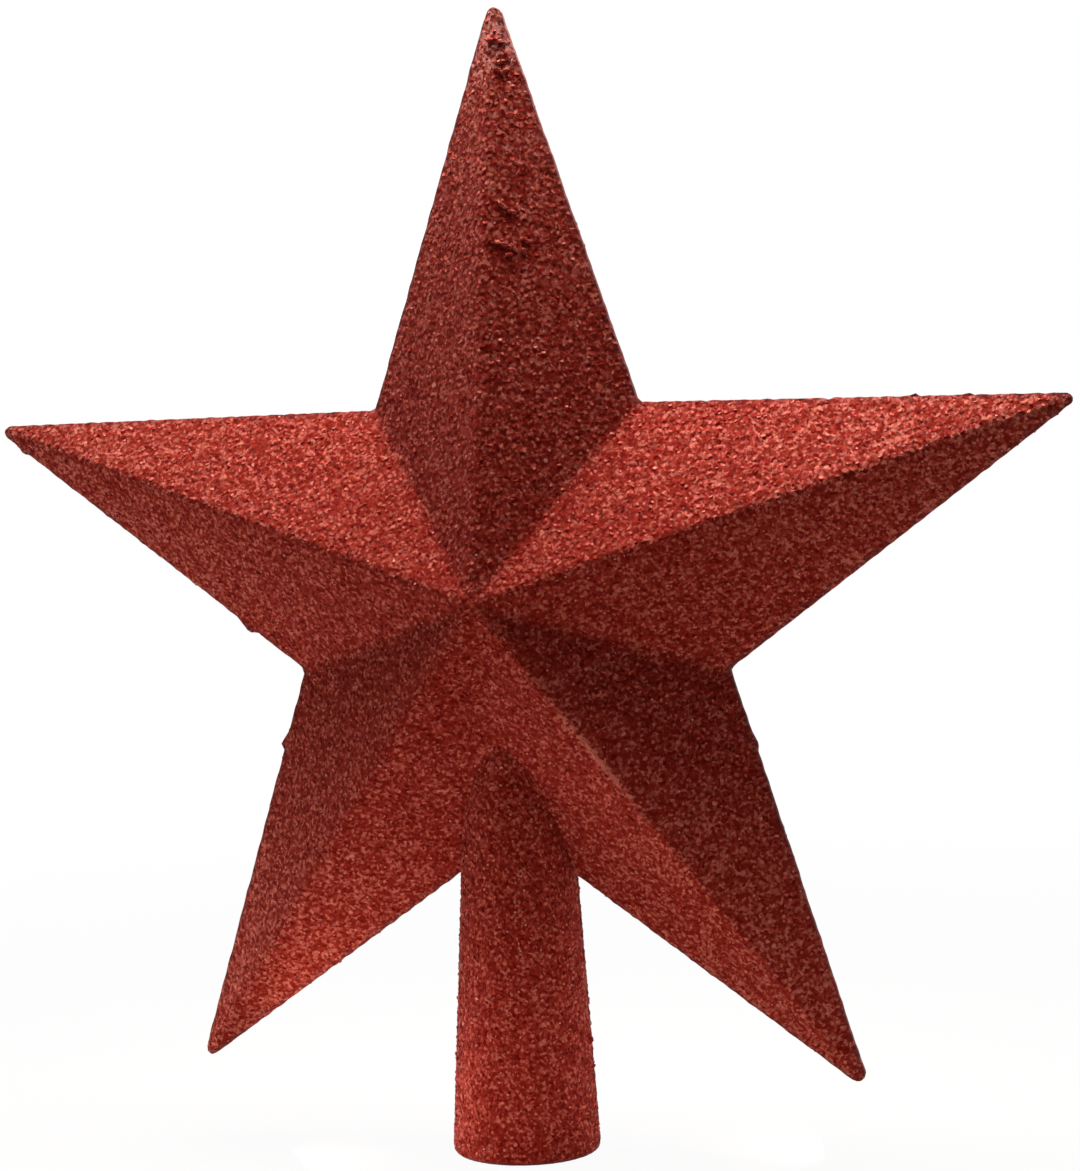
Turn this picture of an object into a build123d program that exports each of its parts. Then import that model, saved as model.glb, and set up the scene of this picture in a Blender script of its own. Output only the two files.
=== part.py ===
from build123d import *
import math
import os

# Tree-top star: two moulded half shells, glued along a lipped rim and coated with glitter.
# Millimetres. The origin is the centre of the socket's mouth, +Z runs up the socket and the front faces -Y.
# The shells meet in the plane Y = 0, which is the mould's parting plane.

# Star, as moulded
points = 5
point_reach = 99.0  # centre to the sharp end of a point, before it is rounded
notch_reach = 38.7  # centre to the inner corner between two points
half_depth = 20.0  # parting plane to the apex of one half
edge_land = 0.3  # flat band that each half keeps along the outline, so that no edge is moulded to a knife
point_radius = 0.85  # rounding of each point, seen from the front
wall = 1.4  # moulded wall, square to the surface

# Socket, as moulded
centre_height = 92.9  # mouth of the socket to the centre of the star
mouth_diameter = 24.0  # outside of the socket at its mouth
socket_draft = 3.27  # taper of the socket, in degrees from its axis
mouth_bevel = 0.6  # bevel round the outside of the mouth, which the coat rounds off

# Joint between the shells
lip_height = 0.5  # lip along the inner edge of the front shell's rim
glue_gap = 0.1  # room for the glue round the lip

# Coat
coat = 0.35  # lacquer and glitter

# Every side of the outline lies at the same distance from the centre, so an outline moved
# outwards all round is the same outline at a larger scale.
half_step = math.pi / points
side_length = math.sqrt(
    point_reach**2 + notch_reach**2 - 2 * point_reach * notch_reach * math.cos(half_step)
)
side_distance = point_reach * notch_reach * math.sin(half_step) / side_length
facet_slope = math.atan((half_depth - edge_land) / side_distance)
draft_angle = math.radians(socket_draft)
lip_thickness = (wall - glue_gap) / 2  # lip and the wall outside it share the wall evenly
coat_edge = mouth_bevel + 0.6 * coat  # rounding of the coat at the mouth, so that it thins out over the bevel
rim_plane = Plane(origin=(0, 0, centre_height), x_dir=(1, 0, 0), z_dir=(0, -1, 0))


def outline_corners(distance):
    """Corners of the star whose sides lie at this distance from the centre: points and notches by turns."""
    scale = distance / side_distance
    corners = []
    for step in range(2 * points):
        angle = math.pi / 2 + step * half_step
        reach = scale * (notch_reach if step % 2 else point_reach)
        corners.append((reach * math.cos(angle), reach * math.sin(angle)))
    return corners


def star_outline(distance, rounding=0.0):
    """Flat star in the parting plane, its points rounded by this radius."""
    star = Polygon(*outline_corners(distance), align=None)
    if rounding > 0:
        reach_limit = (notch_reach + point_reach) / 2 * distance / side_distance
        tips = star.vertices().filter_by(lambda corner: corner.center().length > reach_limit)
        star = fillet(tips, rounding)
    return rim_plane * star


def facet_foot(offset):
    """Distance from the centre at which a facet, moved out by this offset, meets the parting plane."""
    return side_distance + edge_land / math.tan(facet_slope) + offset / math.sin(facet_slope)


def faceted_half(offset):
    """Front half of the star as a many-sided roof: each side of its foot rises straight to the apex."""
    foot = facet_foot(offset)
    apex = rim_plane.from_local_coords((0, 0, foot * math.tan(facet_slope)))
    base = [rim_plane.from_local_coords((x, y, 0)) for x, y in outline_corners(foot)]
    facets = [
        Face(Wire.make_polygon([base[step - 1], base[step], apex]))
        for step in range(len(base))
    ]
    return Solid(Shell([*facets, Face(Wire.make_polygon(base))]))


def star_body(offset):
    """Whole star, both halves, moved out by this offset, with its band along the outline and rounded points."""
    roof = faceted_half(offset)
    band = extrude(star_outline(side_distance + offset, point_radius + offset), amount=2 * half_depth)
    half = roof & band
    return half + mirror(half, about=Plane.XZ)


def socket_radius(height, offset):
    """Radius of the tapered socket at this height, its surface moved out by this offset."""
    return mouth_diameter / 2 - height * math.tan(draft_angle) + offset / math.cos(draft_angle)


def socket_cone(offset):
    """Tapered round body of the socket, from its mouth up to the centre of the star."""
    return Cone(
        socket_radius(0, offset),
        socket_radius(centre_height, offset),
        centre_height,
        align=(Align.CENTER, Align.CENTER, Align.MIN),
    )


def cavity_outline(growth):
    """Hollow of the star and socket where it meets the parting plane, grown outwards by this much."""
    star = star_outline(facet_foot(-wall) + growth)
    mouth_half = socket_radius(0, -wall) + growth
    top_half = socket_radius(centre_height, -wall) + growth
    socket = Plane.XZ * Polygon(
        (-mouth_half, 0),
        (mouth_half, 0),
        (top_half, centre_height),
        (-top_half, centre_height),
        align=None,
    )
    return star + socket


def behind_rim(outline, depth):
    """Slab of this outline, from the parting plane into the back shell."""
    return extrude(outline, amount=-depth)


# Moulded body and its hollow, split in the parting plane
bevelled_cone = socket_cone(0)
bevelled_cone = chamfer(bevelled_cone.edges().group_by(Axis.Z)[0], mouth_bevel)
body = star_body(0) + bevelled_cone
hollow_half = faceted_half(-wall)
hollow = hollow_half + mirror(hollow_half, about=Plane.XZ) + socket_cone(-wall)
walls = body - hollow
front_wall = split(walls, bisect_by=Plane.XZ, keep=Keep.TOP)
back_wall = split(walls, bisect_by=Plane.XZ, keep=Keep.BOTTOM)

# Lip on the front shell, rebate in the back shell, and the glue between them
lip = body & behind_rim(cavity_outline(lip_thickness) - cavity_outline(0), lip_height)
rebate = behind_rim(cavity_outline(lip_thickness + glue_gap), lip_height + glue_gap)
lip_space = body & (rebate - behind_rim(cavity_outline(0), lip_height + glue_gap))
front_shell = front_wall + lip
back_shell = back_wall - rebate
glue_seam = lip_space - lip

# Coat over everything outside, level with the socket's mouth
coat_cone = socket_cone(coat)
coat_cone = fillet(coat_cone.edges().group_by(Axis.Z)[0], coat_edge)
glitter_coat = star_body(coat) + coat_cone - body

nodes = {
    "front_shell": front_shell,
    "back_shell": back_shell,
    "glue_seam": glue_seam,
    "glitter_coat": glitter_coat,
}
os.makedirs("parts", exist_ok=True)
for name, solid in nodes.items():
    export_step(solid, f"parts/{name}.step")
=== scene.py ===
import math

import bpy
import numpy as np
from mathutils import Matrix, Vector


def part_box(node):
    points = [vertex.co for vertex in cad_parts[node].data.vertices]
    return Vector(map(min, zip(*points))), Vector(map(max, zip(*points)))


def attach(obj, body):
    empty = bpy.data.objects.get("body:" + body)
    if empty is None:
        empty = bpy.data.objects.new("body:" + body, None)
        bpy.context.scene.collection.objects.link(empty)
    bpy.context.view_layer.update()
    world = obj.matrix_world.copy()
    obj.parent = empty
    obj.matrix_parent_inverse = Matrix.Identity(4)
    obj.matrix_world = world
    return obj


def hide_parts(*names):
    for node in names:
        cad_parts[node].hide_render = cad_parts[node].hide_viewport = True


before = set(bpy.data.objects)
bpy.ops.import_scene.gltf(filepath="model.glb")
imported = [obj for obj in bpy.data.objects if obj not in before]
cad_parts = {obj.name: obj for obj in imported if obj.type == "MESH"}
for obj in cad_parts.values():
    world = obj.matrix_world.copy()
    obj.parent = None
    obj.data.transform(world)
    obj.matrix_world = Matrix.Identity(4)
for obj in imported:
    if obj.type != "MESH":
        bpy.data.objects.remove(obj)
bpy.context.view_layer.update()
mm = 0.001


# Moulded shells: two hollow half stars in red polystyrene, each with half of the socket tube.
# They are glued rim to rim, and only the socket's mouth and the inside show bare plastic.
class Tone:
    """One output of a material's nodes: arithmetic adds Math nodes, and node() adds any other node."""

    def __init__(self, tree, socket):
        self.tree = tree
        self.socket = socket

    def feed(self, socket, value):
        """Link a tone to a socket, or set the socket to a plain value."""
        if isinstance(value, Tone):
            self.tree.links.new(value.socket, socket)
        else:
            socket.default_value = value

    def node(self, kind, settings=None, inputs=None, output=0):
        """Add a node, its settings first and then the values or links of its sockets; gives one output."""
        made = self.tree.nodes.new(kind)
        for name, value in (settings or {}).items():
            setattr(made, name, value)
        for name, value in (inputs or {}).items():
            self.feed(made.inputs[name], value)
        return Tone(self.tree, made.outputs[output])

    def math(self, operation, *values):
        """Add a Math node: one operation on the values."""
        return self.node("ShaderNodeMath", {"operation": operation}, dict(enumerate(values)))

    def mix(self, first, second):
        """Colour between two others, with this value as the second one's share."""
        return self.node("ShaderNodeMix", {"data_type": "RGBA"}, {0: self, 6: first, 7: second}, output=2)

    def between(self, low, high):
        """This value spread so that low gives 0 and high gives 1, and held at both ends."""
        return self.node("ShaderNodeMapRange", None, {0: self, 1: low, 2: high})

    def __add__(self, other):
        return self.math("ADD", self, other)

    def __sub__(self, other):
        return self.math("SUBTRACT", self, other)

    def __rsub__(self, other):
        return self.math("SUBTRACT", other, self)

    def __mul__(self, other):
        return self.math("MULTIPLY", self, other)

    __radd__ = __add__
    __rmul__ = __mul__


def new_finish(name):
    """New material with one Principled shader: gives it, the shader's sockets and Object coordinates."""
    made = bpy.data.materials.new(name)
    made.use_nodes = True
    tree = made.node_tree
    shader = tree.nodes["Principled BSDF"]
    place = Tone(tree, None).node("ShaderNodeTexCoord", output="Object")
    return made, shader.inputs, place


dark_plastic = (0.30, 0.012, 0.010, 1)
light_plastic = (0.42, 0.026, 0.020, 1)
red_plastic, plastic, place = new_finish("red_polystyrene")
flow = place.node("ShaderNodeTexNoise", None, {"Vector": place, "Scale": 60, "Detail": 3}, "Fac")
grain = place.node("ShaderNodeTexNoise", None, {"Vector": place, "Scale": 1400, "Detail": 2}, "Fac")
skin = {"Strength": 0.25, "Distance": 0.1 * mm, "Height": grain + flow}
place.feed(plastic["Base Color"], flow.mix(dark_plastic, light_plastic))
place.feed(plastic["Roughness"], 0.32 + 0.2 * grain)
place.feed(plastic["Normal"], place.node("ShaderNodeBump", None, skin, "Normal"))
for shell in ("front_shell", "back_shell"):
    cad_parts[shell].data.materials[0] = red_plastic


# Glue seam: the bead of clear glue in the lip joint between the shells, dried to a dull amber.
# Only its inner edge shows, as a thin line up the inside of the socket and round the star's hollow.
dark_amber = (0.62, 0.50, 0.34, 1)
pale_amber = (0.80, 0.72, 0.58, 1)
dried_glue, glue, place = new_finish("dried_glue")
clots = place.node("ShaderNodeTexNoise", None, {"Vector": place, "Scale": 350, "Detail": 3}, "Fac")
bead = {"Strength": 0.4, "Distance": 0.2 * mm, "Height": clots}
place.feed(glue["Base Color"], clots.mix(dark_amber, pale_amber))
place.feed(glue["Roughness"], 0.25 + 0.3 * clots)
place.feed(glue["Normal"], place.node("ShaderNodeBump", None, bead, "Normal"))
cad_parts["glue_seam"].data.materials[0] = dried_glue


# Glitter coat of the star: red flakes sprinkled on wet lacquer over both moulded faces of the star.
# The flakes lie every way on the ten flat facets. Burrs of dried lacquer stand out from the rim, strings
# of it lie on the top point, and the points are worn blunt.
star_points = 5
star_height = 92.9 * mm
point_reach = 100.1 * mm
notch_reach = 39.13 * mm
edge_band = 0.49 * mm
coat = 0.35 * mm
apex_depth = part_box("glitter_coat")[1][1]
half_step = math.pi / star_points
side_length = math.hypot(point_reach - notch_reach * math.cos(half_step), notch_reach * math.sin(half_step))
side_cos = notch_reach * math.sin(half_step) / side_length
side_sin = (point_reach - notch_reach * math.cos(half_step)) / side_length
side_distance = point_reach * side_cos
facet_slope = (apex_depth - edge_band) / side_distance
mouth_radius = 12.35 * mm
socket_taper = math.tan(math.radians(3.27))
ridge_softness = 0.5 * mm
flake_size = 0.68 * mm
flake_lift = 0.068 * mm

# Most that a coat flake's random tone, gloss, hue and wear-and-shade number may be: its gloss stays below
# that of a painted glint.
flake_numbers = (1, 0.85, 1, 1)

# Arms, counted from the top one to the left as seen from the front: how blunt each one's end is, and by how
# many degrees it is out of true.
top_arm, left_arm, lower_right_arm, right_arm = 0, 1, 3, 4
point_radius = np.array([1.4, 1.15, 1.1, 1.2, 1.0])[:, None] * mm
arm_lean = np.array([0, 0, -0.23, 0.1, 0])
arm_angle = np.radians(90 + 72 * np.arange(star_points) + arm_lean)[:, None]

# Burrs on the rim, in mm and degrees from the star's centre: across, up, the angle in which the burr climbs
# to its steep end, length and height.
burrs = np.array([
    (-47.0, -5.3, -36.5, 3.6, 0.9),
    (-41.3, -25.0, 252.5, 2.6, 0.85),
    (41.6, -24.5, -72.5, 2.2, 0.45),
    (68.8, 31.1, 0.0, 1.2, 0.5),
    (77.2, 31.0, 0.0, 1.2, 0.35),
    (55.2, 31.2, 0.0, 1.4, -0.4),
    (-88.8, 26.6, -36.5, 1.8, 0.5),
])

# Strings of lacquer on the front of the top point, in mm and degrees from the star's centre: across, up,
# angle and half length.
strings = np.array([
    (0.5, 91.6, -3, 1.5),
    (2.5, 88.9, -57, 0.7),
    (1.5, 88.0, 14, 0.7),
    (1.2, 86.6, -43, 0.6),
    (2.2, 86.5, 34, 0.6),
    (2.2, 64.6, -44, 0.4),
    (2.9, 63.9, -43, 0.6),
    (3.9, 63.2, -1, 0.7),
    (1.7, 58.3, -8, 1.0),
    (3.2, 57.7, -15, 0.8),
    (4.4, 57.3, -48, 0.7),
    (5.7, 56.8, -44, 0.6),
    (3.7, 56.2, 18, 0.4),
    (6.0, 58.5, -15, 0.7),
])


def arm_places(x, z):
    """Distance along and across each arm, in one row for each arm: the place turned by the arm's angle."""
    rise = z - star_height
    along = x * np.cos(arm_angle) + rise * np.sin(arm_angle)
    across = rise * np.cos(arm_angle) - x * np.sin(arm_angle)
    return along, across


def side_reach(x, z, softness):
    """Distance from the star's centre, square to the nearest side of the outline.

    On an arm it is the distance along times the cosine of the side's angle plus the distance across
    times its sine. A soft square root rounds the ridges, and a soft minimum over the arms the valleys.
    """
    along, across = arm_places(x, z)
    reach = along * side_cos + np.sqrt(across**2 + softness**2) * side_sin
    nearness = np.where(along >= 0, np.exp(-reach / softness), 0)
    return -softness * np.log(nearness.sum(axis=0))


def roof_depth(x, z):
    """Depth of the coated facets in front of the rim: it falls straight from the apex to the band."""
    return edge_band + facet_slope * np.maximum(side_distance - side_reach(x, z, ridge_softness), 0)


def socket_radius(z):
    """Outer radius of the coated socket, which tapers from its mouth up to the star's centre."""
    return np.where(z < star_height, mouth_radius - z * socket_taper, 0)


def burr_height(x, z):
    """How far the burrs stand out from the outline: each rises in a straight ramp and ends in a step.

    The step is four times as steep as the ramp. A burr is whole within 2 mm of its side's line, and gone
    4 mm from it.
    """
    lean = np.radians(burrs[:, 2:3])
    length, height = burrs[:, 3:4], burrs[:, 4:]
    right, over = x / mm - burrs[:, :1], (z - star_height) / mm - burrs[:, 1:2]
    along = right * np.cos(lean) + over * np.sin(lean)
    across = over * np.cos(lean) - right * np.sin(lean)
    ramp = np.where(along < 0, 1 + along / length, 1 - 4 * along / length)
    near = np.clip(2 - np.abs(across) / 2, 0, 1)
    return (height * near * np.maximum(ramp, 0)).sum(axis=0) * mm


def rim_roughness(x, z):
    """Small unevenness of the outline, where the coat dried thicker: two sine waves that swell and fade,
    each times a slower wave."""
    right, over = x / mm, z / mm
    wide = np.sin(1.9 * right + 0.7 * over) * np.sin(0.37 * over - 0.29 * right)
    narrow = np.sin(1.1 * over - 3.1 * right) * np.sin(0.41 * over + 0.23 * right)
    return (0.07 * wide + 0.05 * narrow) * mm


def outside_rim(x, z):
    """Distance of a place outside the outline: past the nearest side, or past the round end of a point."""
    along, across = arm_places(x, z)
    reach = np.where(along >= 0, along * side_cos + np.abs(across) * side_sin, 1)
    past_side = reach.min(axis=0) - side_distance
    beyond = along - point_reach + point_radius / side_cos
    at_end = beyond * side_sin > np.abs(across) * side_cos
    past_end = np.where(at_end, np.hypot(beyond, across) - point_radius, -1).max(axis=0)
    return np.where(at_end.any(axis=0), past_end, past_side) - burr_height(x, z) - rim_roughness(x, z)


def inside_socket(x, z):
    """Depth of a place on the facets inside the socket's wall, measured from the socket's axis."""
    overlap = 0.3 * mm
    return socket_radius(z) - np.hypot(x, roof_depth(x, z)) - overlap


def outside_star(x, z):
    """Distance of a place outside the sheet of flakes: past the rim or into the socket, whichever is more."""
    return np.maximum(outside_rim(x, z), inside_socket(x, z))


def slope_of(measure, x, z):
    """Slope of a measure in the plane of the rim, from its values a hundredth of a millimetre each way."""
    step = 0.01 * mm
    slope_x = (measure(x + step, z) - measure(x - step, z)) / (2 * step)
    slope_z = (measure(x, z + step) - measure(x, z - step)) / (2 * step)
    return slope_x, slope_z


def rim_shade_and_point_wear(x, z):
    """Painted shade and wear of the flakes: painted shade most at the rim, fading out inwards and less where
    the rim faces up, and wear for a few millimetres at the ends of the left and right points."""
    fade_width = 0.85 * mm
    worn_start, worn_length, point_share = 95.4 * mm, 2.2 * mm, 0.8
    _, facing_up = slope_of(outside_rim, x, z)
    rim_shade_share = 0.75 - 0.5 * np.clip(facing_up, 0, 1)
    at_rim = np.clip(1 + outside_rim(x, z) / fade_width, 0, 1) * rim_shade_share
    along, _ = arm_places(x, z)
    at_point = np.clip((along[[left_arm, right_arm]].max(axis=0) - worn_start) / worn_length, 0, 1)
    return np.maximum(at_rim, point_share * at_point)


def painted_centre_shade(x, z):
    """Painted shade: how much paler the coat is towards the points, so that it is darker near the star's
    centre, where the facets shade one another; a smooth step along the arms.
    """
    start, length, most = 15 * mm, 80 * mm, 0.36
    share = np.clip((np.hypot(x, z - star_height) - start) / length, 0, 1)
    return most * share**2 * (3 - 2 * share)


def rubbed_share(x, z):
    """Share of flakes that are rubbed bright, growing evenly towards the end of the top point."""
    start, length, most = 84 * mm, 10 * mm, 0.7
    along, _ = arm_places(x, z)
    return np.clip((along[top_arm] - start) / length, 0, most)


def painted_ridge_highlight_and_string_shade(x, z):
    """Painted light on the front, paler above zero and darker below it.

    A bell across and along the ridge of the lower right arm is a painted highlight line along that ridge, and
    a bell round the nearest string on the top point, a little below it, is painted shade under the strings.
    """
    line_width, line_middle, line_length, highlight_tone = 0.45 * mm, 32 * mm, 9 * mm, 2.2
    shade_drop, shade_radius, shade_tone = 0.8, 1.9 * mm, 0.45
    along, across = arm_places(x, z)
    aside = across[lower_right_arm] / line_width
    ahead = (along[lower_right_arm] - line_middle) / line_length
    line = np.exp(-aside**2 - ahead**2)
    beside = x[:, None] - strings[:, 0] * mm
    below = z[:, None] - star_height - (strings[:, 1] - shade_drop) * mm
    string_shade = np.exp(-(np.hypot(beside, below).min(axis=1) / shade_radius)**2)
    return highlight_tone * line - shade_tone * string_shade


def shaken(places, chance, share):
    """Places moved every way by up to a share of the flake size."""
    angle = chance.uniform(0, 2 * math.pi, len(places))
    move = share * flake_size * np.sqrt(chance.random(len(places)))
    return places + np.stack((move * np.cos(angle), move * np.sin(angle)), axis=1)


def in_free_corner(flat):
    """Places on the map drawn small in its free corner, for faces that never show."""
    return 0.63 + 0.35 * flat


def glitter_mesh(name, corners, faces, flat, shown, numbers):
    """Mesh of flat flakes: each face has its numbers for tone, gloss, hue, and wear with painted shade, and a
    place on the flat map. The faces that never show are bare lacquer."""
    mesh = bpy.data.meshes.new(name)
    mesh.from_pydata(corners, [], faces)
    flakes = mesh.attributes.new("flake", "FLOAT_COLOR", "FACE")
    flakes.data.foreach_set("color", numbers.astype(np.float32).ravel())
    mesh.uv_layers.new(name="OFBake").data.foreach_set("uv", flat.astype(np.float32).ravel())
    mesh.materials.append(red_glitter)
    mesh.materials.append(clear_lacquer)
    mesh.polygons.foreach_set("material_index", np.where(shown, 0, 1).astype(np.int32))
    mesh.update()
    piece = bpy.data.objects.new(name, mesh)
    bpy.context.collection.objects.link(piece)
    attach(piece, "root")
    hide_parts("glitter_coat")


def lattice(spacing, turn):
    """Corners of equal triangles over the star's plane, turned by an angle, and their corner numbers.

    Rows of corners are a triangle's height apart, and every other row is set half a side along.
    """
    row_step = spacing * math.sqrt(0.75)
    rows = int(2 * point_reach / row_step) + 4
    columns = int(2 * point_reach / spacing) + 4
    row, column = np.meshgrid(np.arange(rows), np.arange(columns), indexing="ij")
    across = ((column + (row % 2) / 2 - columns / 2) * spacing).ravel()
    up = ((row - rows / 2) * row_step).ravel()
    x = across * math.cos(turn) - up * math.sin(turn)
    z = across * math.sin(turn) + up * math.cos(turn) + star_height

    number = row * columns + column
    here, right = number[:-1, :-1].ravel(), number[:-1, 1:].ravel()
    over, over_right = number[1:, :-1].ravel(), number[1:, 1:].ravel()
    even = (row[:-1, :-1] % 2 == 0).ravel()
    triangles = np.concatenate((
        np.stack((here, right, np.where(even, over, over_right)), axis=1),
        np.stack((np.where(even, right, here), over_right, over), axis=1),
    ))
    return np.stack((x, z), axis=1), triangles


def star_face(name, facing, turn, seed):
    """One face of the star as a sheet of flakes.

    A lattice of equal triangles in the rim's plane is shaken and cut to the outline and the socket: its
    outer corners slide down the slope of the distance until they lie on the edge. The roof's depth lifts
    it, each corner is raised by a random amount, and the sheet gets an underside and a rim.
    """
    shake_share = 0.4
    edge_share = 0.3
    edge_rounds = 5
    undercut = 0.15 * mm
    sheet_depth = 1.18 * coat
    wall_depth = 0.5 * coat
    folded_band = 0.5 * mm
    chance = np.random.default_rng(seed)
    places, triangles = lattice(flake_size, turn)
    x, z = shaken(places, chance, shake_share).T
    well_inside = outside_star(x, z) < -edge_share * flake_size
    triangles = triangles[well_inside[triangles].any(axis=1)]
    used, triangles = np.unique(triangles, return_inverse=True)
    triangles = triangles.reshape(-1, 3)
    x, z, at_edge = x[used], z[used], ~well_inside[used]

    for _ in range(edge_rounds):
        excess = outside_star(x, z)
        slope_x, slope_z = slope_of(outside_star, x, z)
        move = np.where(at_edge, excess / (slope_x**2 + slope_z**2 + 1e-9), 0)
        x, z = x - move * slope_x, z - move * slope_z

    depth = roof_depth(x, z)
    lift = np.clip(chance.normal(0, flake_lift, len(x)), -2 * flake_lift, 2 * flake_lift)
    at_rim = at_edge & (outside_rim(x, z) > inside_socket(x, z))
    away = np.stack(slope_of(outside_star, x, z), axis=1)
    away = away * (at_edge / (np.linalg.norm(away, axis=1) + 1e-9))[:, None]
    plan = np.stack((x, z), axis=1)
    plan_under = plan - undercut * away * at_rim[:, None]
    under = np.maximum(depth - sheet_depth, 0)
    foot = np.where(at_rim, 0, depth - wall_depth)
    top = np.stack((x, facing * (depth + np.where(at_edge, edge_share, 1) * lift), z), axis=1)
    edge = np.stack((x, facing * foot, z), axis=1)
    base = np.stack((plan_under[:, 0], facing * under, plan_under[:, 1]), axis=1)

    # A side that only one triangle has is on the edge, and carries the band down to the rim.
    sides = np.concatenate((triangles[:, (0, 1)], triangles[:, (1, 2)], triangles[:, (2, 0)]))
    lowest, highest = sides.min(axis=1), sides.max(axis=1)
    _, first, times = np.unique(lowest * len(x) + highest, return_index=True, return_counts=True)
    start, end = sides[first[times == 1]].T
    count = len(x)
    band = np.concatenate((
        np.stack((end, start, start + count), axis=1),
        np.stack((end, start + count, end + count), axis=1),
    ))
    rim = np.concatenate((
        np.stack((end + count, start + count, start + 2 * count), axis=1),
        np.stack((end + count, start + 2 * count, end + 2 * count), axis=1),
    ))
    faces = np.concatenate((triangles, band, rim, triangles[:, ::-1] + 2 * count))
    if facing > 0:
        faces = faces[:, ::-1]
    shown = np.arange(len(faces)) < len(triangles) + len(band)

    # The map is the rim's plane with the band folded outwards.
    plans = np.concatenate((plan, plan + folded_band * away, plan_under))
    low, size = plans.min(axis=0), np.ptp(plans, axis=0).max()
    spread = (0.01 + 0.98 * (plans - low) / size)[faces]
    flat = np.where(shown[:, None, None], spread, in_free_corner(spread))
    middle = plans[faces].mean(axis=1).T
    numbers = chance.random((len(faces), 4)) * flake_numbers
    # On the front, a painted highlight along the lower right arm's ridge and painted shade under the strings.
    # Painted shade: the tone rises towards the points, so the coat is darker at the star's centre.
    numbers[:, 0] += painted_centre_shade(*middle) + (painted_ridge_highlight_and_string_shade(*middle) if facing < 0 else 0)
    numbers[:, 1] = np.where(chance.random(len(faces)) < rubbed_share(*middle), 1, numbers[:, 1])
    # Painted shade along the rim, darker where the rim faces down, and wear at the ends of the side points.
    numbers[:, 3] *= np.sqrt(rim_shade_and_point_wear(*middle))
    corners = np.concatenate((top, edge, base))
    kept, faces = np.unique(faces, return_inverse=True)
    glitter_mesh(name, corners[kept], faces.reshape(-1, 3), flat, shown, numbers)


def loose_flakes(name, places, normals, paler, flat, flat_scale, seed):
    """Six-sided flakes that stand out of the coat, each one a thin plate tilted and turned by chance.

    The glossiest of them are small and painted pale pink as glints.
    """
    tilt = 0.22
    glint_gloss, glint_radius = 0.95, 0.2
    smallest, largest = 0.24, 0.44
    deepest, highest = -0.02, 0.05
    half_plate = 0.03 * mm
    chance = np.random.default_rng(seed)
    count = len(places)
    numbers = chance.random((count, 4))
    numbers[:, 0] = 1 - 0.4 * numbers[:, 0]**1.5 + paler
    numbers[:, 3] = 0
    tilted = normals + chance.normal(0, tilt, (count, 3))
    tilted /= np.linalg.norm(tilted, axis=1, keepdims=True)
    side = np.cross(tilted, chance.normal(0, 1, (count, 3)))
    side /= np.linalg.norm(side, axis=1, keepdims=True)
    other = np.cross(tilted, side)
    radius = np.where(numbers[:, 1] > glint_gloss, glint_radius, chance.uniform(smallest, largest, count))
    radius = radius[:, None, None] * mm
    turn = (np.arange(6) * math.pi / 3)[:, None]
    ring = radius * (np.cos(turn) * side[:, None] + np.sin(turn) * other[:, None])
    centre = (places + chance.uniform(deepest, highest, count)[:, None] * mm * normals)[:, None]
    thickness = half_plate * tilted[:, None]
    corners = np.concatenate((centre + ring + thickness, centre + ring - thickness), axis=1)
    step = np.arange(6)
    after = (step + 1) % 6
    plate = np.concatenate((
        np.array([(0, 1, 2), (0, 2, 3), (0, 3, 4), (0, 4, 5)]),
        np.stack((step + 6, after + 6, after), axis=1),
        np.stack((step + 6, after, step), axis=1),
        np.array([(6, 8, 7), (6, 9, 8), (6, 10, 9), (6, 11, 10)]),
    ))
    plate_faces, shown_faces = len(plate), len(plate) - 4
    faces = (np.arange(count)[:, None, None] * 12 + plate).reshape(-1, 3)
    shown = np.tile(np.arange(plate_faces) < shown_faces, count)

    # On the map each flake lies flat in its place with its sides folded out.
    spokes = np.concatenate((np.cos(turn), np.sin(turn)), axis=1)
    spread = flat[:, None] + flat_scale * radius * np.concatenate((0.7 * spokes, 1.1 * spokes))
    spread = spread.reshape(-1, 2)[faces]
    spread = np.where(shown[:, None, None], spread, in_free_corner(spread))
    numbers = np.repeat(numbers, plate_faces, axis=0)
    glitter_mesh(name, corners.reshape(-1, 3), faces, spread, shown, numbers)


def facet_places(x, z, facing):
    """Places on one face of the star and the normals there, from the slope of the roof."""
    slope_x, slope_z = slope_of(roof_depth, x, z)
    normals = np.stack((-slope_x, np.full_like(x, facing), -slope_z), axis=1)
    normals /= np.linalg.norm(normals, axis=1, keepdims=True)
    return np.stack((x, facing * roof_depth(x, z), z), axis=1), normals


def star_flakes(name, facing, turn, seed):
    """Loose flakes over one face of the star: a wide lattice, shaken and cut to the outline."""
    flake_spacing = 1.24 * mm
    shake_share = 0.38
    edge_room = 0.2 * mm
    chance = np.random.default_rng(seed)
    places, _ = lattice(flake_spacing, turn)
    plan = shaken(places, chance, shake_share)
    plan = plan[outside_star(*plan.T) < -edge_room]
    spots, normals = facet_places(*plan.T, facing)
    scale = 0.98 / np.ptp(plan, axis=0).max()
    flat = 0.01 + scale * (plan - plan.min(axis=0))
    # On the front, loose flakes also get the painted ridge highlight and the painted shade under the strings.
    # Painted shade: loose flakes are paler towards the points and darker at the star's centre.
    paler = painted_centre_shade(*plan.T) + (painted_ridge_highlight_and_string_shade(*plan.T) if facing < 0 else 0)
    loose_flakes(name, spots, normals, paler, flat, scale, seed + 100)


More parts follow.
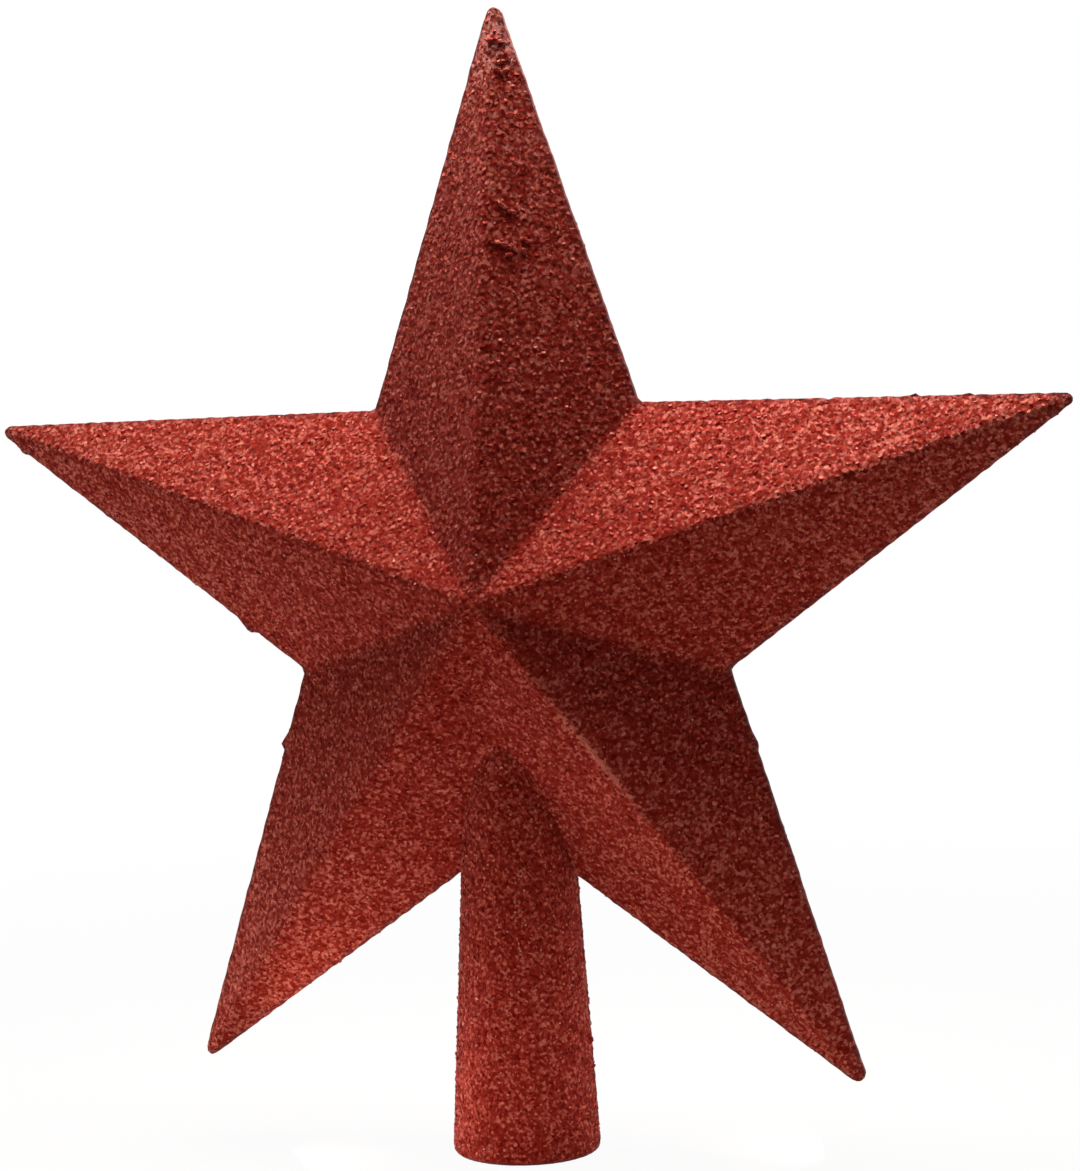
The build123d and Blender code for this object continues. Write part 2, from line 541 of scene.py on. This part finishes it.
def lacquer_strings(name, seed):
    """Strings of lacquer as long round bodies half sunk in the front's facets.

    Each is a ball's surface, stretched along the string and made uneven by chance, with a pole at each end.
    """
    half_width, half_height = 0.36 * mm, 0.45 * mm
    round_end = 0.3
    unevenness = 0.18
    chance = np.random.default_rng(seed)
    count, rings, spokes = len(strings), 8, 12
    x, z = strings[:, 0] * mm, strings[:, 1] * mm + star_height
    spots, normals = facet_places(x, z, -1)
    lean = np.radians(strings[:, 2])
    level = np.stack((np.cos(lean), np.zeros(count), np.sin(lean)), axis=1)
    across = np.cross(normals, level)
    across /= np.linalg.norm(across, axis=1, keepdims=True)
    along = np.cross(across, normals)
    polar = (np.arange(1, rings) * math.pi / rings)[:, None]
    turn = np.arange(spokes) * 2 * math.pi / spokes
    rough = 1 + unevenness * chance.normal(0, 1, (count, rings - 1, spokes))
    reach = (strings[:, 3] + round_end)[:, None, None] * np.cos(polar)[None]
    body = (
        reach[..., None] * mm * along[:, None, None]
        + (half_width * rough * np.sin(polar) * np.cos(turn))[..., None] * across[:, None, None]
        + (half_height * rough * np.sin(polar) * np.sin(turn))[..., None] * normals[:, None, None]
    )
    ends = (strings[:, 3:] + round_end) * mm * along
    corners = np.concatenate((ends[:, None], body.reshape(count, -1, 3), -ends[:, None]), axis=1)
    corners = corners + spots[:, None]
    per_string = corners.shape[1]

    ring, spoke = np.meshgrid(np.arange(rings), np.arange(spokes), indexing="ij")
    ring, spoke = ring.ravel(), spoke.ravel()

    def grid_place(down, on):
        """Corner number and map place of each cell's corner, so many rings down and spokes on."""
        number = 1 + (ring + down - 1) * spokes + (spoke + on) % spokes
        number = np.where(ring + down == 0, 0, np.where(ring + down == rings, per_string - 1, number))
        return number, np.stack(((ring + down) / rings, (spoke + on) / spokes), axis=1)

    first = [grid_place(*step) for step in ((0, 0), (1, 0), (1, 1))]
    second = [grid_place(*step) for step in ((0, 0), (1, 1), (0, 1))]
    whole = np.concatenate((ring < rings - 1, ring > 0))
    faces, flat = (
        np.concatenate([np.stack([corner[part] for corner in half], axis=1) for half in (first, second)])
        for part in (0, 1)
    )
    faces, flat = faces[whole], flat[whole]
    number = np.arange(count)
    cell = np.stack((number % 4, number // 4), axis=1) / 4
    all_faces = (number[:, None, None] * per_string + faces).reshape(-1, 3)
    all_flat = (cell[:, None, None] + 0.005 + 0.24 * flat).reshape(-1, 3, 2)
    numbers = chance.random((len(all_faces), 4)) * (0.6, 0.85, 1, 0) + (0.9, 0, 0, 0)
    shown = np.full(len(all_faces), True)
    glitter_mesh(name, corners.reshape(-1, 3), all_faces, all_flat, shown, numbers)


deep_red = (0.126, 0.0024, 0.0008, 1)
bright_red = (0.264, 0.0222, 0.0128, 1)
pale_pink = (0.52, 0.13, 0.106, 1)
pale_orange = (0.56, 0.156, 0.098, 1)
# Pale pink of painted glints on the glossiest flakes, and of the rubbed flakes at the top point.
glint_and_rubbed_pink = (0.56, 0.19, 0.155, 1)
# Brown of the worn side points, also used as painted shade along the rim and under the socket's mouth.
shade_and_wear_brown = (0.105, 0.042, 0.042, 1)
red_glitter, glitter, place = new_finish("red_glitter")
flake = place.node("ShaderNodeAttribute", {"attribute_name": "flake"}, None, "Color")
shade_and_wear = place.node("ShaderNodeAttribute", {"attribute_name": "flake"}, None, "Alpha")
flake_tone = place.node("ShaderNodeSeparateColor", None, {"Color": flake}, "Red")
flake_gloss = place.node("ShaderNodeSeparateColor", None, {"Color": flake}, "Green")
flake_hue = place.node("ShaderNodeSeparateColor", None, {"Color": flake}, "Blue")
cell = place.node("ShaderNodeTexVoronoi", None, {"Vector": place, "Scale": 2000}, "Color")
cell_tone = place.node("ShaderNodeSeparateColor", None, {"Color": cell}, "Red")
patch = place.node("ShaderNodeTexNoise", None, {"Vector": place, "Scale": 420, "Detail": 1}, "Fac")
shine = 0.4 * flake_tone + 0.7 * cell_tone + 0.15 * patch - 0.145
red = shine.between(0.0, 0.6).mix(deep_red, bright_red)
pale = flake_hue.mix(pale_pink, pale_orange)
# Painted glints: the glossiest flakes, and the rubbed ones at the top point, take a pale pink.
glint_and_rubbed = flake_gloss.between(0.94, 0.95)
fresh = glint_and_rubbed.mix(shine.between(0.6, 1.05).mix(red, pale), glint_and_rubbed_pink)
# Painted shade and wear: the flakes turn brown where their fourth number is high.
place.feed(glitter["Base Color"], shade_and_wear.mix(fresh, shade_and_wear_brown))
place.feed(glitter["Roughness"], 0.32 + 0.2 * flake_gloss)
glitter["Metallic"].default_value = 0.06
glitter["Specular IOR Level"].default_value = 0.004
glitter["Sheen Weight"].default_value = 0.045
glitter["Sheen Roughness"].default_value = 0.5

dark_lacquer = (0.34, 0.02, 0.015, 1)
light_lacquer = (0.40, 0.03, 0.022, 1)
clear_lacquer, lacquer, place = new_finish("clear_lacquer")
streaks = place.node("ShaderNodeTexNoise", None, {"Vector": place, "Scale": 200, "Detail": 2}, "Fac")
place.feed(lacquer["Base Color"], streaks.mix(dark_lacquer, light_lacquer))
lacquer["Roughness"].default_value = 0.4

star_face("glitter_front", -1, 0.4, 11)
star_face("glitter_back", 1, 0.7, 12)
star_flakes("flakes_front", -1, 0.2, 21)
star_flakes("flakes_back", 1, 0.9, 22)
lacquer_strings("lacquer_strings", 31)


# Glitter coat of the socket: the same flakes round the tapered tube, from its mouth up into the star.
# The coat rounds the mouth's edge, and the mould's parting line shows as a low pale ridge up both sides,
# with two small burrs on the right.
def socket_top(angle):
    """Height at which the socket's surface enters the star, by halving: a place is in when it lies inside
    the outline and less deep than the facets."""
    search_start, halvings = 30 * mm, 24
    low = np.full_like(angle, search_start)
    high = np.full_like(angle, star_height)
    for _ in range(halvings):
        middle = (low + high) / 2
        radius = socket_radius(middle - 1e-9)
        x, depth = radius * np.cos(angle), np.abs(radius * np.sin(angle))
        entered = (outside_rim(x, middle) < 0) & (depth < roof_depth(x, middle))
        low, high = np.where(entered, low, middle), np.where(entered, middle, high)
    return high


def parting_line(angle):
    """Share of the parting line at an angle round the socket: a narrow bell on each side."""
    half_width = 0.4 * mm
    return np.exp(-(np.sin(angle) * mouth_radius / half_width)**2)


def socket_coat(name, seed):
    """Socket's coat as a closed sleeve: one profile, its height scaled to the star, turned round the axis.

    The first rows round the mouth's edge in a quarter circle, the next climb the outside, every other one
    set half a flake on, and the last closes down the inside. A bell round the parting line raises its
    ridge, and bells along it the burrs.
    """
    mouth_edge = 0.9 * mm
    entry_depth = 0.6 * mm
    ridge_height = 0.15
    burr_heights, burr_width = (14.8 * mm, 19.0 * mm), 0.7 * mm
    shaded_mouth_height = 0.5 * mm
    chance = np.random.default_rng(seed)
    mouth_rows, rows, columns = 6, 118, 118
    row, column = np.meshgrid(np.arange(rows), np.arange(columns), indexing="ij")
    shake = np.where(row < mouth_rows, 0.1, 0.3)
    angle = (column + (row % 2) / 2 + shake * chance.uniform(-1, 1, row.shape)) * 2 * math.pi / columns
    bend = np.minimum(row / (mouth_rows - 1), 1) * math.pi / 2
    climbed = row - mouth_rows + 1 + shake * chance.uniform(-1, 1, row.shape)
    share = np.clip(climbed / (rows - mouth_rows), 0, 1)
    top = socket_top(angle.ravel()).reshape(angle.shape) + entry_depth
    climb = mouth_edge + share * (top - mouth_edge)
    lift = np.clip(chance.normal(0, flake_lift, row.shape), -2 * flake_lift, 2 * flake_lift)
    seam_burrs = sum(np.exp(-((climb - height) / burr_width)**2) for height in burr_heights)
    ridge = ridge_height + seam_burrs * (np.cos(angle) > 0)
    wall = socket_radius(climb) + lift + ridge * mm * parting_line(angle)
    curl = mouth_radius - mouth_edge * (1 - np.sin(bend)) - mouth_edge * socket_taper * bend + 0.4 * lift
    z = np.where(row < mouth_rows, mouth_edge * (1 - np.cos(bend)), climb)
    radius = np.where(row < mouth_rows, curl, wall)
    radius = np.concatenate((radius, radius[-1:] - coat))
    z = np.concatenate((z, z[-1:]))
    angle = np.concatenate((angle, angle[-1:]))
    corners = np.stack((radius * np.cos(angle), radius * np.sin(angle), z), axis=2).reshape(-1, 3)

    level, turn = np.meshgrid(np.arange(rows + 1), np.arange(columns), indexing="ij")
    level, turn = level.ravel(), turn.ravel()
    even = level % 2 == 0

    def corner(up, on):
        """Corner number so many rows up and places on, closed round the socket and from last row to first."""
        return (level + up) % (rows + 1) * columns + (turn + on) % columns

    def map_place(up, on):
        """Place of that corner on the unrolled map, with odd rows half a place on."""
        lean = np.where((level + up) % 2 == 1, 0.5, 0)
        return np.stack(((turn + on + lean) / (columns + 1), (level + up) / (rows + 1)), axis=1)

    first = (((0, 0), (0, 1), (1, 0)), ((0, 1), (1, 1), (1, 0)))
    second = (((0, 0), (0, 1), (1, 1)), ((0, 0), (1, 1), (1, 0)))
    faces, flat = [], []
    for even_corners, odd_corners in zip(first, second):
        faces.append(np.stack([
            np.where(even, corner(*even_corners[n]), corner(*odd_corners[n])) for n in range(3)
        ], axis=1))
        flat.append(np.stack([
            np.where(even[:, None], map_place(*even_corners[n]), map_place(*odd_corners[n])) for n in range(3)
        ], axis=1))
    faces, flat = np.concatenate(faces), np.concatenate(flat)
    middle = corners[faces].mean(axis=1)
    line = parting_line(np.arctan2(middle[:, 1], middle[:, 0]))
    numbers = chance.random((len(faces), 4)) * flake_numbers
    numbers[:, 0] = np.maximum(numbers[:, 0], 0.9 * line)
    numbers[:, 2] = np.maximum(numbers[:, 2], line)
    # Painted shade under the mouth's rounded edge, darkest at the very bottom.
    numbers[:, 3] = (0.6 + 0.4 * numbers[:, 3]) * np.clip(1.4 - middle[:, 2] / shaded_mouth_height, 0, 1)
    shown = np.tile(level < rows - 1, 2)
    glitter_mesh(name, corners, faces, 0.005 + 0.99 * flat, shown, numbers)


def socket_flakes(name, seed):
    """Loose flakes round the socket, in shaken rows up to where it enters the star."""
    lowest, end_room = 1.2 * mm, 1.4 * mm
    map_width = 0.6
    chance = np.random.default_rng(seed)
    rows, columns = 68, 58
    row, column = np.meshgrid(np.arange(rows), np.arange(columns), indexing="ij")
    angle = (column + (row % 2) / 2 + chance.uniform(-0.25, 0.25, row.shape)) * 2 * math.pi / columns
    angle = angle.ravel()
    share = ((row + 0.5 + chance.uniform(-0.25, 0.25, row.shape)) / rows).ravel()
    z = lowest + share * (socket_top(angle) - end_room)
    radius = socket_radius(z)
    spots = np.stack((radius * np.cos(angle), radius * np.sin(angle), z), axis=1)
    normals = np.stack((np.cos(angle), np.sin(angle), np.full_like(angle, socket_taper)), axis=1)
    flat = np.stack((0.02 + map_width * angle / angle.max(), 0.02 + 0.96 * share), axis=1)
    loose_flakes(name, spots, normals, 0, flat, map_width / (2 * math.pi * mouth_radius), seed + 100)


socket_coat("glitter_socket", 13)
socket_flakes("flakes_socket", 23)


# Studio: a sheet of white paper that the star stands on, soft lamps close over it, a card on its left, and
# low lamps that stand for the light off the table. Paper and room look white, and the paper keeps the shadow.
def seen_share(start):
    """1 for the rays that show a background, straight, mirrored or through something clear, else 0."""
    kinds = ("Is Camera Ray", "Is Glossy Ray", "Is Transmission Ray")
    straight, mirrored, clear = (start.node("ShaderNodeLightPath", None, None, kind) for kind in kinds)
    return start.math("MINIMUM", straight + mirrored + clear, 1.0)


near_paper = (0.82, 0.67, 0.61, 1)
far_paper = (0.3, 0.3, 0.3, 1)
plain_white = (1, 1, 1, 1)
white_paper = bpy.data.materials.new("white_paper")
white_paper.use_nodes = True
white_paper.node_tree.nodes.remove(white_paper.node_tree.nodes["Principled BSDF"])
start = Tone(white_paper.node_tree, None)
spot = start.node("ShaderNodeTexCoord", output="Object")
away = start.node("ShaderNodeVectorMath", {"operation": "LENGTH"}, {0: spot}, "Value")
bounce = away.between(0.08, 0.2).mix(near_paper, far_paper)
paper = start.node("ShaderNodeBsdfDiffuse", None, {"Color": bounce})
glow = start.node("ShaderNodeEmission", None, {"Color": plain_white, "Strength": 1.0})
white = seen_share(start) * (0.95 + 0.05 * away.between(0.05, 0.4))
page = start.node("ShaderNodeMixShader", None, {0: white, 1: paper, 2: glow})
start.feed(white_paper.node_tree.nodes["Material Output"].inputs["Surface"], page)
half_sheet = 2.0
sheet_gap = 0.05 * mm
sheet_corners = np.array([(-1, -1, 0), (1, -1, 0), (1, 1, 0), (-1, 1, 0)]) * half_sheet - (0, 0, sheet_gap)
sheet_mesh = bpy.data.meshes.new("paper_sheet")
sheet_mesh.from_pydata(sheet_corners, [], [(0, 1, 2, 3)])
sheet_mesh.materials.append(white_paper)
sheet = bpy.data.objects.new("paper_sheet", sheet_mesh)
bpy.context.collection.objects.link(sheet)

dim_room = (0.014, 0.014, 0.014, 1)
room = bpy.data.worlds.new("white_room")
room.use_nodes = True
start = Tone(room.node_tree, None)
air = seen_share(start).mix(dim_room, plain_white)
start.feed(room.node_tree.nodes["Background"].inputs["Color"], air)
bpy.context.scene.world = room


def soft_lamp(name, place, size, power, target=(0, 0, 0.09), colour=(1, 1, 1)):
    """Square area lamp at a place, turned to the middle of the star or to another target."""
    lamp = bpy.data.lights.new(name, "AREA")
    lamp.size = size
    lamp.energy = power
    lamp.color = colour
    holder = bpy.data.objects.new(name, lamp)
    holder.location = place
    holder.visible_camera = False
    holder.rotation_euler = (Vector(target) - Vector(place)).to_track_quat("-Z", "Y").to_euler()
    bpy.context.collection.objects.link(holder)


soft_lamp("overhead_lamp", (0, 0, 0.40), 0.15, 1.62)
soft_lamp("near_overhead_lamp", (0, 0.04, 0.33), 0.12, 0.6)
soft_lamp("left_overhead_lamp", (-0.30, 0, 0.70), 0.30, 1.5)
table_tint = (1, 0.9, 0.86)
soft_lamp("left_card", (-0.22, -0.15, 0.05), 0.10, 0.07, colour=table_tint)
soft_lamp("low_left_lamp", (-0.16, 0, 0.012), 0.02, 0.022, colour=table_tint)
soft_lamp("back_right_lamp", (0.14, 0.08, 0.012), 0.02, 0.008, colour=table_tint)
soft_lamp("left_table_glow", (-0.10, -0.01, 0.003), 0.04, 0.023, (-0.10, -0.01, 1), table_tint)
soft_lamp("right_table_glow", (0.11, 0, 0.003), 0.04, 0.018, (0.09, 0, 1), table_tint)
soft_lamp("left_glow", (-0.036, -0.017, 0.006), 0.012, 0.008, (-0.012, 0, 0.015), table_tint)
soft_lamp("front_glow", (0.01, -0.05, 0.007), 0.012, 0.0046, (0, -0.012, 0.015), table_tint)
soft_lamp("right_glow", (0.05, 0.01, 0.007), 0.012, 0.008, (0.012, 0, 0.015), table_tint)


# Camera: almost level with the star, a little to its right, with the frame tipped very slightly.
# The star's centre shows left of the middle, and the lens follows from its size in the picture.
picture_width = 1080
picture_height = 1171
star_across = 511.24
star_down = 596.79
pixels_per_metre = 6007.5
view_distance = 473.8 * mm
turn, rise, tip = (math.radians(angle) for angle in (18.165, 3.017, -1.663))
back = Vector((math.sin(turn) * math.cos(rise), -math.cos(turn) * math.cos(rise), math.sin(rise)))
level_right = Vector((math.cos(turn), math.sin(turn), 0))
level_up = back.cross(level_right)
right = math.cos(tip) * level_right + math.sin(tip) * level_up
up = math.cos(tip) * level_up - math.sin(tip) * level_right
aside = (star_across - picture_width / 2) / pixels_per_metre
above = (picture_height / 2 - star_down) / pixels_per_metre
eye = Vector((0, 0, star_height)) - aside * right - above * up + view_distance * back
lens = bpy.data.cameras.new("photo_camera")
lens.sensor_fit = "VERTICAL"
lens.sensor_height = 36.0
lens.lens = pixels_per_metre * view_distance / picture_height * lens.sensor_height
lens.clip_start = 0.01
lens.clip_end = 50.0
viewer = bpy.data.objects.new("photo_camera", lens)
viewer.matrix_world = Matrix((right, up, back)).transposed().to_4x4()
viewer.location = eye
bpy.context.collection.objects.link(viewer)
bpy.context.scene.camera = viewer
bpy.context.scene.view_settings.view_transform = "Standard"
